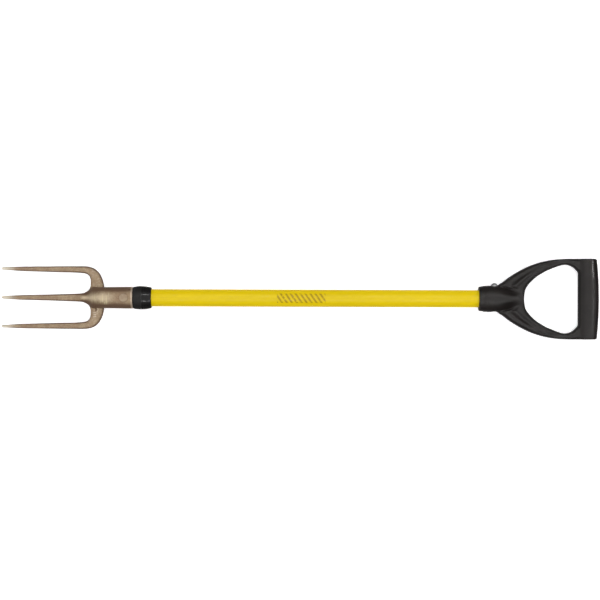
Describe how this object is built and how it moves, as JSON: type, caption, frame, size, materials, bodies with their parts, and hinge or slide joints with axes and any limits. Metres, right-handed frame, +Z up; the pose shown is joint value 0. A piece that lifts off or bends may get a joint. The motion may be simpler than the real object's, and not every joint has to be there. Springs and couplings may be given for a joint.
{
  "type": "digging fork",
  "caption": "Digging fork with three tapered tines on a cast head, a straight hollow glass-fibre shaft and a moulded D-shaped hand grip.",
  "frame": {"origin": "on the resting surface, under the middle of the fork's bounding box, with the fork lying face up on the flat back of its yoke and on the grip's socket", "axes": "+X along the shaft from the tines to the grip, +Y across the tines, +Z up, away from the resting surface"},
  "size_m": [1.0342, 0.14, 0.0462],
  "materials": {
    "cast_bronze": "sand-cast skin, blasted, with ground edges",
    "bronze_rivet": "ground flush",
    "black_rubber": "semi-gloss",
    "yellow_glass_fibre": "glossy resin skin",
    "core_filler": "turned dowel",
    "epoxy": "cured resin",
    "black_plastic": "satin moulding",
    "rivet_steel": "zinc plated"
  },
  "bodies": {
    "root": {"fork_head": "cast_bronze", "socket_rivet": "bronze_rivet", "socket_collar": "black_rubber", "shaft_tube": "yellow_glass_fibre", "lower_core": "core_filler", "upper_core": "core_filler", "socket_bond": "epoxy", "d_grip": "black_plastic", "grip_rivet": "rivet_steel", "rivet_burr": "rivet_steel"}
  },
  "joints": []
}
